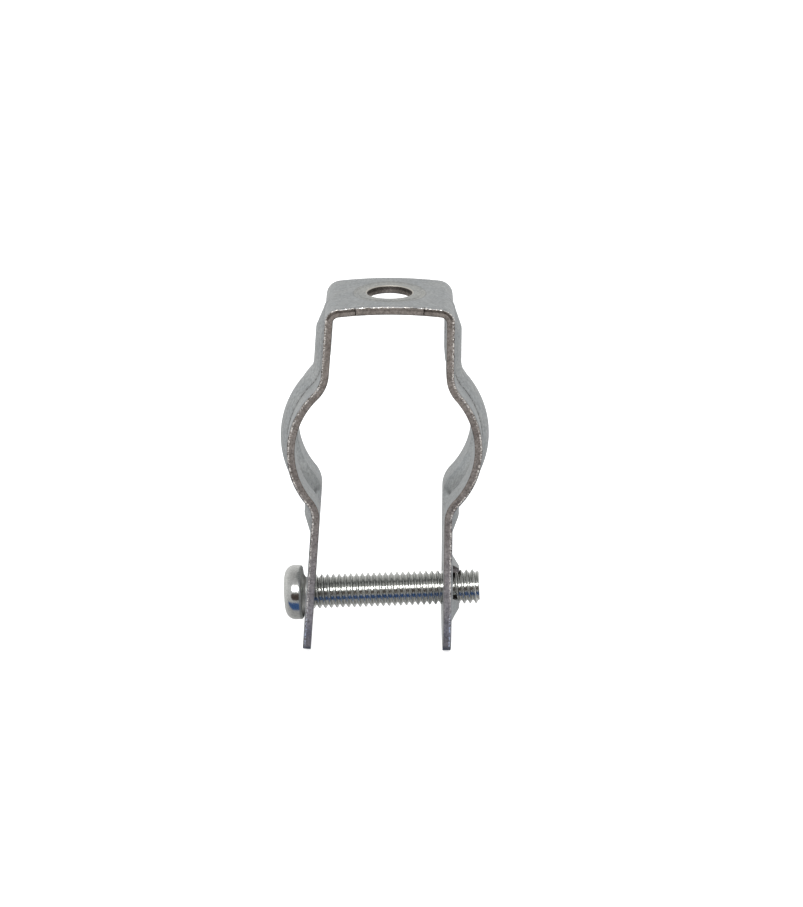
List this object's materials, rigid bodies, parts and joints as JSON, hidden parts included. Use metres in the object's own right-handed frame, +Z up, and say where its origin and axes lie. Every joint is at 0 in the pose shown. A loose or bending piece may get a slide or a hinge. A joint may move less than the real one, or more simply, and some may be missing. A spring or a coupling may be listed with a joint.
{
  "type": "conduit clamp",
  "caption": "Folded steel strap that grips a conduit between bulged, beaded legs, hung by a hole in its crowned top and drawn tight by a machine screw across its legs.",
  "frame": {"origin": "centre of the top hole, on the top face", "axes": "+Z up out of the top hole, +X along the screw from head to tip, +Y along the conduit, to the back"},
  "size_m": [0.0349, 0.017, 0.0637],
  "materials": {
    "strap": "satin zinc plate, duller on the sheared edges",
    "screw": "bright zinc plate"
  },
  "bodies": {
    "strap": {"clamp_strap": "strap"},
    "screw": {"clamp_screw": "screw"}
  },
  "joints": [
    {"name": "screw_turn", "type": "hinge", "parent": "strap", "child": "screw", "pos_m": [0.0105, 0, -0.05292], "axis": [-0.9987, 0.0218, -0.0462], "range_deg": [0, 1620]}
  ]
}
